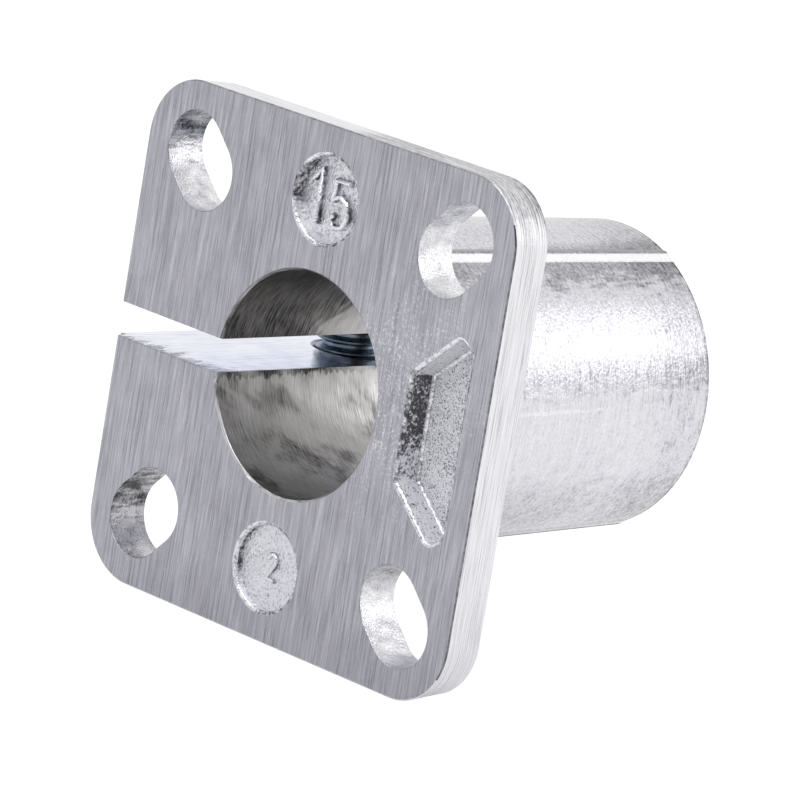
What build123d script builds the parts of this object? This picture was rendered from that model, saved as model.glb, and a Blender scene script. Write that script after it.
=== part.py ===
from build123d import *
import os
from math import atan2, cos, degrees, radians, sin, sqrt, tan

# Base clamp: a square flange with a slit collar behind it, closed on a tube by one cap screw.
# Frame: origin at the centre of the bore on the mounting face, +Y along the bore into the collar,
# +Z up along the flange, and the slit on the -X side. Sizes are in millimetres.

# Tube and bore
tube_diameter = 15.0
bore_clearance = 0.2
bore_edge_break = 0.15
bore_lead_in = 0.6

# Flange
flange_side = 35.0
flange_thickness = 3.2
flange_corner_radius = 4.5
flange_draft_angle = 4.0

# Oblong fixing slots, one to a corner, their long axes pointing at the bore
slot_edge_distance = 5.25
slot_screw_diameter = 5.0
slot_screw_clearance = 0.3
slot_travel = 1.7

# Round recesses above and below the bore, midway to the flange's edge
recess_diameter = 5.8
upper_recess_depth = 0.8
lower_recess_depth = 0.5
recess_draft_angle = 6.0

# Trapezoid pocket beside the bore, opposite the slit
pocket_bore_wall = 2.8
pocket_edge_wall = 2.2
pocket_shoulder_width = 1.2
pocket_inner_half_height = 3.6
pocket_outer_half_height = 6.9
pocket_end_half_height = 6.1
pocket_depth = 1.8
pocket_corner_radius = 0.6
pocket_draft_angle = 8.0

# Collar
collar_stand = 26.0
collar_wall_at_end = 3.0
collar_draft_angle = 1.35
collar_root_radius = 1.0
collar_rim_chamfer = 0.3

# Low ridges along the collar, where the casting's side parts met
ridge_foot_angle = 59.8
ridge_crest_angle = 64.8
ridge_back_angle = 66.6
ridge_height = 0.12
ridge_sink = 0.4

# Slit and clamp ears
slit_width = 2.3
ear_end_distance = 6.2
ear_tip_height = 5.4
ear_flank_angle = 9.8
ear_corner_radius = 6.0
ear_edge_radius = 1.2
ear_root_radius = 1.5

# Clamp screw: metric cap screw with a hexagon socket
screw_diameter = 5.0
screw_length = 12.0
screw_head_diameter = 8.5
screw_head_height = 5.0
screw_head_edge_radius = 0.4
screw_tip_chamfer = 0.5
socket_across_flats = 4.0
socket_depth = 2.5
screw_bore_wall = 1.25
screw_flange_distance = 13.3

# Fits between the screw and the ears
thread_clearance = 0.05
shank_hole_clearance = 0.25
seat_clearance = 0.5
thread_entry_chamfer = 0.25

# Values that follow from the sizes above
collar_length = flange_thickness + collar_stand
bore_radius = (tube_diameter + bore_clearance) / 2
collar_end_radius = bore_radius + collar_wall_at_end
collar_slope = tan(radians(collar_draft_angle))
flange_back_inset = flange_thickness * tan(radians(flange_draft_angle))
slot_spacing = flange_side - 2 * slot_edge_distance
slot_width = slot_screw_diameter + slot_screw_clearance
slot_length = slot_width + slot_travel
recess_offset = (bore_radius + flange_side / 2) / 2
pocket_inner_x = bore_radius + pocket_bore_wall
pocket_outer_x = flange_side / 2 - pocket_edge_wall
pocket_shoulder_x = pocket_outer_x - pocket_shoulder_width
shank_hole_radius = screw_diameter / 2 + shank_hole_clearance
screw_offset_x = bore_radius + screw_bore_wall + shank_hole_radius
screw_centre_y = flange_thickness + screw_flange_distance
ear_reach = screw_offset_x + ear_end_distance
seat_height = ear_tip_height
overlap = 0.5


def collar_radius(y):
    """Outer radius of the drafted collar at a distance y from the mounting face."""
    return collar_end_radius + (collar_length - y) * collar_slope


def facing_plane(y):
    """Plane parallel to the mounting face at depth y, with local x along X and local y along Z."""
    return Plane(origin=(0, y, 0), x_dir=(1, 0, 0), z_dir=(0, -1, 0))


def cut_tool(sketch, depth, draft_angle):
    """Solid that cuts a drafted recess of this outline into the mounting face."""
    return extrude(facing_plane(0) * sketch, amount=-depth, taper=draft_angle)


def make_flange():
    """Square plate with rounded corners, slightly smaller at the back by its draft."""
    back_side = flange_side - 2 * flange_back_inset
    back_corner = flange_corner_radius - flange_back_inset
    front = facing_plane(0) * RectangleRounded(flange_side, flange_side, flange_corner_radius)
    back = facing_plane(flange_thickness) * RectangleRounded(back_side, back_side, back_corner)
    return loft([front, back], ruled=True)


def make_collar():
    """Drafted round collar with a root fillet on the flange and its rim broken."""
    root_y = flange_thickness + collar_root_radius
    root_r = collar_radius(root_y)
    rim_y = collar_length - collar_rim_chamfer
    profile = Polyline(
        (0, overlap),
        (root_r + collar_root_radius, overlap),
        (root_r + collar_root_radius, flange_thickness),
    )
    profile += RadiusArc(
        (root_r + collar_root_radius, flange_thickness), (root_r, root_y), collar_root_radius
    )
    profile += Polyline(
        (root_r, root_y),
        (collar_radius(rim_y), rim_y),
        (collar_radius(rim_y) - collar_rim_chamfer, collar_length),
        (0, collar_length),
        (0, overlap),
    )
    return revolve(make_face(profile), axis=Axis.Y)


def ridge_section(y, side):
    """Triangle of one ridge at depth y: a long flank from its foot, a crest and a short back."""
    radius = collar_radius(y)
    spots = (
        (ridge_foot_angle, radius - ridge_sink),
        (ridge_foot_angle, radius),
        (ridge_crest_angle, radius + ridge_height),
        (ridge_back_angle, radius),
        (ridge_back_angle, radius - ridge_sink),
    )
    points = [(r * cos(radians(a)), side * r * sin(radians(a))) for a, r in spots]
    return facing_plane(y) * make_face(Polyline(*points, close=True))


def make_ridge(side):
    """One parting ridge along the collar; side is 1 for the upper and -1 for the lower."""
    end_y = collar_length - collar_rim_chamfer
    return loft([ridge_section(flange_thickness, side), ridge_section(end_y, side)], ruled=True)


def ear_root_section(y, flank_drop=0, collar_inset=0):
    """Section at depth y of the fillet that runs the upper ear's flank into the round collar."""
    radius = collar_radius(y) - collar_inset
    tip_height = ear_tip_height - flank_drop
    flank = radians(ear_flank_angle)
    centre_up = tip_height * cos(flank) + ear_reach * sin(flank) + ear_root_radius
    centre_out = sqrt((radius + ear_root_radius) ** 2 - centre_up**2)
    centre_x = -centre_up * sin(flank) - centre_out * cos(flank)
    centre_z = centre_up * cos(flank) - centre_out * sin(flank)
    on_ear = (centre_x + ear_root_radius * sin(flank), centre_z - ear_root_radius * cos(flank))
    share = radius / (radius + ear_root_radius)
    on_collar = (centre_x * share, centre_z * share)
    outline = Polyline(on_collar, (-bore_radius / 2, 0), on_ear)
    outline += RadiusArc(on_ear, on_collar, -ear_root_radius)
    return facing_plane(y) * make_face(outline)


def make_ear_root():
    """Fillet between the upper ear and the collar, run out where the ear's far edge is rounded."""
    sections = [
        ear_root_section(overlap),
        ear_root_section(collar_length - ear_edge_radius),
        ear_root_section(collar_length, ear_edge_radius, collar_rim_chamfer),
    ]
    return loft(sections, ruled=True)


def make_ear(side):
    """One clamp ear, its flank tapered to the end; side is 1 for the upper and -1 for the lower."""
    inner_x = bore_radius / 2
    inner_height = ear_tip_height + (ear_reach - inner_x) * tan(radians(ear_flank_angle))
    section = Polyline(
        (-inner_x, 0),
        (-ear_reach, 0),
        (-ear_reach, ear_tip_height),
        (-inner_x, inner_height),
        close=True,
    )
    ear = extrude(facing_plane(overlap) * make_face(section), amount=-(collar_length - overlap))
    far_corner = ear.edges().filter_by(Axis.Z).group_by(Axis.Y)[-1].sort_by(Axis.X)[0]
    ear = fillet(far_corner, ear_corner_radius)
    flank_edges = ear.faces().sort_by(Axis.Z)[-1].edges()
    free_edges = flank_edges.sort_by(Axis.Y)[1:].sort_by(Axis.X)[:-1]
    ear = fillet(free_edges, ear_edge_radius) + make_ear_root()
    return ear if side > 0 else mirror(ear, about=Plane.XY)


def make_slots():
    """Cutting tools for the four oblong slots, each turned to point at the bore."""
    tools = Part()
    for sx in (-1, 1):
        for sz in (-1, 1):
            turn = degrees(atan2(sz, sx))
            corner = Pos(sx * slot_spacing / 2, sz * slot_spacing / 2) * Rot(0, 0, turn)
            outline = facing_plane(-overlap) * corner * SlotOverall(slot_length, slot_width)
            tools += extrude(outline, amount=-(flange_thickness + 2 * overlap))
    return tools


def make_pocket():
    """Cutting tool for the trapezoid pocket."""
    upper = [
        (pocket_inner_x, pocket_inner_half_height),
        (pocket_shoulder_x, pocket_outer_half_height),
        (pocket_outer_x, pocket_end_half_height),
    ]
    lower = [(x, -z) for x, z in reversed(upper)]
    outline = make_face(Polyline(*upper, *lower, close=True))
    outline = fillet(outline.vertices(), pocket_corner_radius)
    return cut_tool(outline, pocket_depth, pocket_draft_angle)


def make_bore():
    """Cutting tool for the bore, with its edge break in front and lead-in at the far end."""
    front_r = bore_radius + bore_edge_break
    back_r = bore_radius + bore_lead_in
    profile = Polyline(
        (0, -overlap),
        (front_r, -overlap),
        (front_r, 0),
        (bore_radius, bore_edge_break),
        (bore_radius, collar_length - bore_lead_in),
        (back_r, collar_length),
        (back_r, collar_length + overlap),
        (0, collar_length + overlap),
        close=True,
    )
    return revolve(make_face(profile), axis=Axis.Y)


def make_screw_holes():
    """Cutting tools for the screw: seat and plain hole above the slit, threaded hole below it."""
    thread_r = screw_diameter / 2 + thread_clearance
    seat_r = screw_head_diameter / 2 + seat_clearance
    entry_r = thread_r + thread_entry_chamfer
    half_slit = slit_width / 2
    top = collar_radius(0) + overlap
    profile = Polyline(
        (0, top),
        (seat_r, top),
        (seat_r, seat_height),
        (shank_hole_radius, seat_height),
        (shank_hole_radius, 0),
        (entry_r, 0),
        (entry_r, -half_slit),
        (thread_r, -half_slit - thread_entry_chamfer),
        (thread_r, -top),
        (0, -top),
        close=True,
    )
    tool = revolve(Plane.XZ * make_face(profile), axis=Axis.Z)
    return Pos(-screw_offset_x, screw_centre_y, 0) * tool


def make_clamp_body():
    """The whole casting, with everything cut in it."""
    body = make_flange() + make_collar()
    for side in (-1, 1):
        body += make_ridge(side)
        body += make_ear(side)
    body -= make_bore()
    slit_reach = ear_reach + overlap
    slit_run = collar_length + 2 * overlap
    slit = Pos(-slit_reach / 2, collar_length / 2, 0) * Box(slit_reach, slit_run, slit_width)
    body -= slit
    body -= make_slots()
    body -= make_pocket()
    recess = Circle(recess_diameter / 2)
    for side, depth in ((1, upper_recess_depth), (-1, lower_recess_depth)):
        body -= cut_tool(Pos(0, side * recess_offset) * recess, depth, recess_draft_angle)
    body -= make_screw_holes()
    return body


def make_clamp_screw():
    """Cap screw with its head on the seat of the upper ear and its tip through the lower one."""
    head_r = screw_head_diameter / 2
    shank_r = screw_diameter / 2
    head = Pos(0, 0, screw_head_height / 2) * Cylinder(head_r, screw_head_height)
    head = fillet(head.edges().filter_by(GeomType.CIRCLE).sort_by(Axis.Z)[-1], screw_head_edge_radius)
    shank = Pos(0, 0, -screw_length / 2) * Cylinder(shank_r, screw_length)
    shank = chamfer(shank.edges().filter_by(GeomType.CIRCLE).sort_by(Axis.Z)[0], screw_tip_chamfer)
    socket = Pos(0, 0, screw_head_height - socket_depth) * extrude(
        RegularPolygon(socket_across_flats / 2, 6, major_radius=False), amount=socket_depth
    )
    screw = head + shank - socket
    return Pos(-screw_offset_x, screw_centre_y, seat_height) * screw


os.makedirs("parts", exist_ok=True)
export_step(make_clamp_body(), "parts/clamp_body.step")
export_step(make_clamp_screw(), "parts/clamp_screw.step")
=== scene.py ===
"""Looks of the base clamp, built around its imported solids.

Lengths are written in millimetres and made metres where a mesh is placed. The frame is the part's
own: origin at the bore's centre on the mounting face, +Y along the bore into the collar, +Z
towards the screw's head, and the slit on the -X side.
"""

import logging
import math
from dataclasses import dataclass
from enum import Enum
from functools import cached_property
from typing import Any, Union

import bmesh
import bpy
from mathutils import Matrix, Vector

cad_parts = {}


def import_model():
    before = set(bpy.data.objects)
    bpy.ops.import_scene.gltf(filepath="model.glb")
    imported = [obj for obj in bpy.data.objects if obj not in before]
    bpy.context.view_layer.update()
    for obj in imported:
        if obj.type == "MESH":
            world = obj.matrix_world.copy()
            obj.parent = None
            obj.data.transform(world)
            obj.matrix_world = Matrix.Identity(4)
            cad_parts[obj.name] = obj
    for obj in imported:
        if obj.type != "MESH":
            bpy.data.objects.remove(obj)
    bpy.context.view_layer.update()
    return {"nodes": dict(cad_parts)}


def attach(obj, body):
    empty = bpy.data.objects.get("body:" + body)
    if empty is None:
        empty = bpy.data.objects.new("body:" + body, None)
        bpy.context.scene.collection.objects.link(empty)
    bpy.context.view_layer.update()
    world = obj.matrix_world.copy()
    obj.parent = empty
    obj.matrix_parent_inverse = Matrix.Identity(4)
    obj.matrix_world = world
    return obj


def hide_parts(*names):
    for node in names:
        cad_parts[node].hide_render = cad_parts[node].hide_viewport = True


LOG = logging.getLogger("base_clamp")
MM = 0.001

# What brings a noise, which mostly swings by 0.2 about its middle, to the depth of its finish.
FINE_GAIN = 1.8
TONE_GAIN = 1.6
FLECK_TONE_GAIN = 2.5
PATCH_TONE_GAIN = 2.0
HEIGHT_GAIN = 2.0
FLECK_HEIGHT_GAIN = 3.0

# Sizes of the clamp that its finishes and its mesh share, in millimetres.
FLANGE_HALF = 17.5
BORE_RADIUS = 7.6
SLOT_PLACE = 12.25
RECESS_PLACE = 12.55

Pair = tuple[float, float]
Triple = tuple[float, float, float]
Number = Union["Value", float]
Pattern = tuple["Value", "Value"]
Shell = bmesh.types.BMesh
Edges = list[bmesh.types.BMEdge]


# Shader expressions


class Value:
    """A shader socket that takes part in plain arithmetic."""

    def __init__(self, shading: "Shading", socket: bpy.types.NodeSocket) -> None:
        """Keeps the socket and the tree it belongs to."""
        self.shading = shading
        self.socket = socket

    def _math(self, operation: str, *operands: Number) -> "Value":
        """Adds one Math node and returns its result."""
        settings = {"operation": operation}
        return self.shading.node("ShaderNodeMath", settings, dict(enumerate(operands)))

    def __add__(self, other: Number) -> "Value":
        """Sum."""
        return self._math("ADD", self, other)

    __radd__ = __add__

    def __sub__(self, other: Number) -> "Value":
        """Difference."""
        return self._math("SUBTRACT", self, other)

    def __rsub__(self, other: Number) -> "Value":
        """Difference with this value on the right."""
        return self._math("SUBTRACT", other, self)

    def __mul__(self, other: Number) -> "Value":
        """Product."""
        return self._math("MULTIPLY", self, other)

    __rmul__ = __mul__

    def __abs__(self) -> "Value":
        """Size without its sign."""
        return self._math("ABSOLUTE", self)

    def __pow__(self, other: Number) -> "Value":
        """Power."""
        return self._math("POWER", self, other)

    def larger(self, other: Number) -> "Value":
        """The larger of the two."""
        return self._math("MAXIMUM", self, other)

    def step(self, low: float, high: float) -> "Value":
        """Runs smoothly from 0 at low to 1 at high, also where high is below low.

        Args:
            low: value at which the result is 0.
            high: value at which the result is 1.

        Returns:
            The smooth step, between 0 and 1.
        """
        inputs = {"Value": self, "From Min": low, "From Max": high, "To Min": 0.0, "To Max": 1.0}
        if low > high:
            inputs.update({"From Min": high, "From Max": low, "To Min": 1.0, "To Max": 0.0})
        return self.shading.node("ShaderNodeMapRange", {"interpolation_type": "SMOOTHSTEP"}, inputs)


class Layer(Enum):
    """Layers of noise, each with the shift that sets it apart from the others."""

    GRAIN = 0.0
    WANDER = 3.1
    STEEL = 5.0
    MOTTLE = 7.3
    BROAD = 11.0
    FLECK = 17.43
    PITS = 29.0
    CORNER = 31.0
    PATCH = 41.0
    SLOT_SHADE = 47.0
    TONGUE = 53.0
    SAW = 59.0
    SMEAR = 61.0
    STREAK = 67.0
    POCKET = 71.0
    RECESS = 73.0
    DIGIT = 79.0
    BAND = 83.0
    HATCH = 89.0
    BLOT = 97.0
    RIM = 101.0
    KNOCK = 103.0
    BURR = 107.0
    SCRATCH = 109.0
    COLLAR = 113.0
    SPARKLE = 127.0


class Shading:
    """The node tree of one material or world, written as expressions."""

    def __init__(self, owner: "bpy.types.Material | bpy.types.World") -> None:
        """Empties the owner's tree.

        Args:
            owner: material or world whose nodes are made.
        """
        owner.use_nodes = True
        self.tree = owner.node_tree
        self.tree.nodes.clear()

    def node(
        self, kind: str, settings: dict[str, Any], inputs: dict[Any, Any], output: "int | str" = 0
    ) -> Value:
        """Adds a node.

        Args:
            kind: the node's type name.
            settings: the node's own settings, set before its sockets.
            inputs: values or links of its sockets, by name or number.
            output: which output is returned.

        Returns:
            The chosen output as a value.
        """
        made = self.tree.nodes.new(kind)
        for name, value in settings.items():
            if name == "stops":
                self._set_stops(made.color_ramp, value)
            else:
                setattr(made, name, value)
        for name, value in inputs.items():
            if isinstance(value, Value):
                self.tree.links.new(value.socket, made.inputs[name])
            else:
                made.inputs[name].default_value = value
        return Value(self, made.outputs[output])

    @staticmethod
    def _set_stops(ramp: bpy.types.ColorRamp, stops: list[tuple[float, Triple]]) -> None:
        """Gives a colour ramp these stops.

        Args:
            ramp: the ramp of a new node, with its two first stops.
            stops: position and colour of each stop.
        """
        while len(ramp.elements) < len(stops):
            ramp.elements.new(0.5)
        for element, (position, colour) in zip(ramp.elements, stops):
            element.position = position
            element.color = (*colour, 1.0)

    @cached_property
    def place(self) -> Value:
        """The object's own coordinates in millimetres."""
        inputs = {0: self.node("ShaderNodeTexCoord", {}, {}, "Object"), "Scale": 1.0 / MM}
        return self.node("ShaderNodeVectorMath", {"operation": "SCALE"}, inputs)

    @cached_property
    def axes(self) -> tuple[Value, ...]:
        """The three parts of the place."""
        return self.parts(self.place)

    @cached_property
    def upper(self) -> Value:
        """1 above the bore's axis and 0 below it."""
        return self.axes[2].step(-1.0, 1.0)

    def parts(self, vector: Value) -> tuple[Value, ...]:
        """The three parts of a vector."""
        outputs = self.node("ShaderNodeSeparateXYZ", {}, {0: vector}).socket.node.outputs
        return tuple(Value(self, outputs[name]) for name in "XYZ")

    def from_centre(self, centre: float) -> Value:
        """Height above the middle of the nearer of two openings, above and below the bore."""
        return self.axes[2] - self.upper * (2.0 * centre) + centre

    def clouds(
        self, per_mm: "float | Triple", layer: Layer, detail: float = 2.0, at: "Value | None" = None
    ) -> Value:
        """Smooth noise, mostly between 0.3 and 0.7.

        Args:
            per_mm: cycles for each millimetre, the same all round or along X, Y and Z.
            layer: which layer of noise this is.
            detail: octaves of finer noise.
            at: the place that is read, or None for the surface's own.

        Returns:
            The noise value.
        """
        scale = per_mm if isinstance(per_mm, tuple) else (per_mm,) * 3
        inputs = {0: at or self.place, "Location": (layer.value,) * 3, "Scale": scale}
        scaled = self.node("ShaderNodeMapping", {"vector_type": "POINT"}, inputs)
        inputs = {0: scaled, "Scale": 1.0, "Detail": detail, "Roughness": 0.55}
        return self.node("ShaderNodeTexNoise", {}, inputs)

    def ripple(self, *wanted: Any, **options: Any) -> Value:
        """The noise of clouds about 0, mostly between -0.2 and 0.2."""
        return self.clouds(*wanted, **options) - 0.5

    def blend(self, share: Number, first: Any, second: Any) -> Value:
        """Mixes two colours.

        Args:
            share: how much of the second colour shows.
            first: colour, as numbers or a value.
            second: colour, as numbers or a value.

        Returns:
            The mixed colour.
        """
        first, second = (c if isinstance(c, Value) else (*c, 1.0) for c in (first, second))
        inputs = {0: share, 6: first, 7: second}
        return self.node("ShaderNodeMix", {"data_type": "RGBA"}, inputs, 2)

    def surface(self, settings: dict[str, Any], height: Value) -> None:
        """Ends the tree with a shader.

        Args:
            settings: sockets of the shader by name.
            height: how far the pattern stands up from the surface, in millimetres.
        """
        bump = self.node("ShaderNodeBump", {}, {"Height": height, "Distance": MM, "Strength": 1.0})
        shader = self.node("ShaderNodeBsdfPrincipled", {}, {**settings, "Normal": bump})
        self.end("ShaderNodeOutputMaterial", shader)

    def end(self, kind: str, shader: Value) -> None:
        """Links a shader to the tree's output node."""
        made = self.tree.nodes.new(kind)
        self.tree.links.new(shader.socket, made.inputs["Surface"])


# Finishes


@dataclass(frozen=True)
class CastFinish:
    """Bare cast metal: scratches, mottling and flecks, each at its own scale.

    Attributes:
        name: name of the material.
        colour: base colour between the dark and the light parts.
        grain: cycles of the scratches for each millimetre along X, Y and Z.
        grain_depth: share by which the scratches darken and lighten the colour.
        grain_height: height of the scratches in millimetres.
        wobble: how far the scratches wander sideways, in millimetres.
        mottle: cycles of the slow mottling for each millimetre.
        mottle_depth: share by which the mottling changes the colour.
        fleck: cycles of the flecks for each millimetre.
        fleck_depth: share by which the flecks change the colour.
        fleck_height: height of the flecks in millimetres.
        roughness: roughness of the smoothest and the dullest spots.
        metallic: how far the surface mirrors as metal; frosted skin is below 1.
        broad: share of the wide scratches beside the fine ones.
    """

    name: str
    colour: Triple = (0.60, 0.60, 0.64)
    grain: Triple = (12.0, 12.0, 0.45)
    grain_depth: float = 0.2
    grain_height: float = 0.004
    wobble: float = 0.06
    mottle: float = 0.25
    mottle_depth: float = 0.06
    fleck: float = 6.0
    fleck_depth: float = 0.05
    fleck_height: float = 0.004
    roughness: Pair = (0.34, 0.46)
    metallic: float = 1.0
    broad: float = 0.7

    def make(self) -> bpy.types.Material:
        """Builds the material.

        Returns:
            The new material.
        """
        material = bpy.data.materials.new(self.name)
        shading = Shading(material)
        tone, height = self.pattern(shading)
        low, high = self.roughness
        dull = shading.clouds(3.0 * self.mottle, Layer.MOTTLE).step(0.3, 0.7)
        settings = {
            "Base Color": self.tinted(shading, tone),
            "Metallic": self.metallic,
            "Roughness": dull * (high - low) + low,
        }
        shading.surface(settings, height)
        return material

    def tinted(self, shading: Shading, tone: Value) -> Value:
        """The base colour for a tone: 0 is near black, 0.5 the plain colour and 1 near white."""
        dark = tuple(0.08 * c for c in self.colour)
        light = tuple(0.35 * c + 0.65 for c in self.colour)
        stops = [(0.0, dark), (0.5, self.colour), (1.0, light)]
        return shading.node("ShaderNodeValToRGB", {"stops": stops}, {0: tone})

    def pattern(self, shading: Shading) -> Pattern:
        """The tone and the height of the surface. The finishes below add their own marks to it.

        Args:
            shading: tree of the material.

        Returns:
            Tone, 0.5 for the plain colour, and height in millimetres.
        """
        wander = shading.clouds(0.4, Layer.WANDER) * (2.0 * self.wobble)
        inputs = {0: shading.place, 1: wander}
        moved = shading.node("ShaderNodeVectorMath", {"operation": "ADD"}, inputs)
        fine = shading.ripple(self.grain, Layer.GRAIN, at=moved)
        broad = shading.ripple(tuple(0.3 * g for g in self.grain), Layer.BROAD, 3.0, moved)
        grain = fine * FINE_GAIN + broad * self.broad
        mottle = shading.ripple(self.mottle, Layer.MOTTLE)
        fleck = shading.ripple(self.fleck, Layer.FLECK, 3.0) * self.fleck_share(shading)
        tone = (grain * self.grain_depth + mottle * self.mottle_depth) * TONE_GAIN + 0.5
        tone = tone + fleck * (FLECK_TONE_GAIN * self.fleck_depth)
        height = grain * (HEIGHT_GAIN * self.grain_height)
        return tone, height + fleck * (FLECK_HEIGHT_GAIN * self.fleck_height)

    def fleck_share(self, shading: Shading) -> Number:
        """How strongly the flecks show: everywhere alike."""
        return 1.0


@dataclass(frozen=True)
class FaceFinish(CastFinish):
    """The ground mounting face: long scratches, and pits where the wheel didn't reach.

    Attributes:
        pitted: middle of the pitted patch beside the bore, along X and Z.
        reach: how far the patch reaches.
        ragged: how far its outline wanders.
        sparse: share of the flecks that shows outside it.
    """

    pitted: Pair = (10.0, 2.0)
    reach: float = 7.5
    ragged: float = 12.0
    sparse: float = 0.12

    def fleck_share(self, shading: Shading) -> Value:
        """The flecks are bright, and show in a ragged patch and sparsely elsewhere."""
        x, _, z = shading.axes
        away = ((x - self.pitted[0]) ** 2.0 + ((z - self.pitted[1]) * 0.75) ** 2.0) ** 0.5
        outline = away + shading.ripple(0.5, Layer.PITS) * self.ragged
        bright = shading.clouds(self.fleck, Layer.FLECK, 3.0).step(0.46, 0.62)
        return bright * (outline.step(self.reach, 0.2 * self.reach) * 0.9 + self.sparse)


@dataclass(frozen=True)
class CornerFinish(CastFinish):
    """The flange's corner line: dark along the right and the top, light elsewhere.

    Attributes:
        light: what lifts the tone all along the line.
        dark: what the dark stretches take from it.
        top: share of the dark along the top.
    """

    light: float = 0.12
    dark: float = 0.44
    top: float = 0.6

    def pattern(self, shading: Shading) -> Pattern:
        """The plain metal with the dark stretches."""
        tone, height = super().pattern(shading)
        x, _, z = shading.axes
        ragged = shading.ripple(1.5, Layer.CORNER) * 2.0
        right = (x + ragged).step(FLANGE_HALF - 2.2, FLANGE_HALF - 0.4)
        dark = right.larger(z.step(FLANGE_HALF - 0.5, FLANGE_HALF - 0.1) * self.top)
        return tone + self.light - dark * self.dark, height


@dataclass(frozen=True)
class EdgeFinish(CastFinish):
    """The flange's edge: fine scratches along it, and a duller, knocked upper corner.

    Attributes:
        corner: height at which the knocked corner starts.
        dull: what the knocked corner takes from the tone.
        knock: what the knocks change of it, and their height in millimetres.
    """

    corner: float = 13.0
    dull: float = 0.2
    knock: Pair = (0.6, 0.02)

    def pattern(self, shading: Shading) -> Pattern:
        """The scratches with the knocked corner."""
        tone, height = super().pattern(shading)
        x, _, z = shading.axes
        knocks = shading.ripple((2.2, 5.0, 2.2), Layer.KNOCK, 3.0)
        knocked = (z + knocks * 3.0).step(self.corner, self.corner + 2.5) * x.step(0.0, 3.0)
        tone = tone + knocked * (knocks * self.knock[0] - self.dull)
        return tone, height + knocked * knocks * self.knock[1]


@dataclass(frozen=True)
class TornFinish(CastFinish):
    """Cast walls that were torn and chipped: dark and bright patches over coarse bumps.

    Attributes:
        patch: cycles of the patches for each millimetre along X, Y and Z.
        patch_depth: share by which the patches change the colour.
        patch_height: height of the bumps in millimetres.
    """

    patch: Triple = (1.0, 0.7, 1.2)
    patch_depth: float = 0.65
    patch_height: float = 0.12

    def pattern(self, shading: Shading) -> Pattern:
        """The scratches and flecks with the patches added."""
        tone, height = super().pattern(shading)
        patches = shading.ripple(self.patch, Layer.PATCH, 3.0)
        tone = tone + patches * (PATCH_TONE_GAIN * self.patch_depth)
        return tone, height + patches * self.patch_height


@dataclass(frozen=True)
class SlotFinish(TornFinish):
    """Walls of the diagonal slots: streaked painted shade at the top on the slit's side, painted
    light below.

    Attributes:
        light: painted light that lifts the tone below, on the far side and on the slit's side.
        streaked_shade: painted shade that the upper walls on the slit's side take from the tone,
            and what its streaks take besides.
    """

    light: Pair = (0.3, 0.16)
    streaked_shade: Pair = (0.08, 0.24)

    def pattern(self, shading: Shading) -> Pattern:
        """The torn wall with its streaked painted shade and its painted light."""
        tone, height = super().pattern(shading)
        x, upper = shading.axes[0], shading.upper
        local = shading.from_centre(SLOT_PLACE)
        streaks = shading.ripple((0.8, 0.4, 2.4), Layer.SLOT_SHADE, 3.0)
        ragged = local + streaks * 7.0 + (1.0 - upper) * 1.2
        # Painted shade on the upper walls on the slit's side, and painted light low in each slot.
        streaked_shade = x.step(1.0, -1.0) * ragged.step(-0.2, 1.0)
        lit = x.step(-1.0, 1.0) * self.light[0] + x.step(1.0, -1.0) * upper * self.light[1]
        tone = tone + local.step(2.2, 0.4) * lit
        return tone - streaked_shade * (streaks.step(-0.1, 0.1) * self.streaked_shade[1] + self.streaked_shade[0]), height


@dataclass(frozen=True)
class PocketFinish(TornFinish):
    """Walls of the pocket: black and flecked beside the bore, with painted light on the sloped
    ends.

    Attributes:
        half_height: half of the height of the wall beside the bore.
        light: painted light that lifts the tone of the sloped ends.
        sparkle: what the sparkle changes of the lower end's tone, and its height.
        dark: what the wall beside the bore loses, and what its black stretch loses besides.
    """

    half_height: float = 3.6
    light: float = 0.15
    sparkle: Pair = (1.4, 0.2)
    dark: Pair = (0.1, 0.4)

    def pattern(self, shading: Shading) -> Pattern:
        """The torn wall with its dark stretches and the painted light on its sloped ends."""
        tone, height = super().pattern(shading)
        z = shading.axes[2]
        sloped = abs(z).step(self.half_height - 0.2, self.half_height + 0.1)
        black = (z + shading.ripple(1.0, Layer.POCKET) * 3.0).step(-2.2, -0.4)
        sparkle = shading.ripple(5.0, Layer.SPARKLE, 3.0)
        below = sloped * z.step(0.0, -1.0)
        tone = tone + sloped * self.light + below * (sparkle * self.sparkle[0] - 0.02)
        tone = tone - (1.0 - sloped) * (black * self.dark[1] + self.dark[0])
        return tone, height + below * sparkle * self.sparkle[1]


@dataclass(frozen=True)
class RecessWallFinish(TornFinish):
    """Walls of the round recesses: painted shadow on the slit's side, painted light and flecks
    below.

    Attributes:
        light: painted light that lifts the tone below.
        dark: what the painted shadow on the slit's side takes from it.
    """

    light: float = 0.4
    dark: float = 0.36

    def pattern(self, shading: Shading) -> Pattern:
        """The torn wall with its painted shadow and painted light."""
        tone, height = super().pattern(shading)
        ragged = shading.from_centre(RECESS_PLACE) + shading.ripple(1.5, Layer.RECESS) * 2.0
        low = ragged.step(-0.6, -1.4)
        black = shading.axes[0].step(-1.0, -2.0) * (1.0 - low)
        return tone + low * self.light - black * self.dark, height


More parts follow.
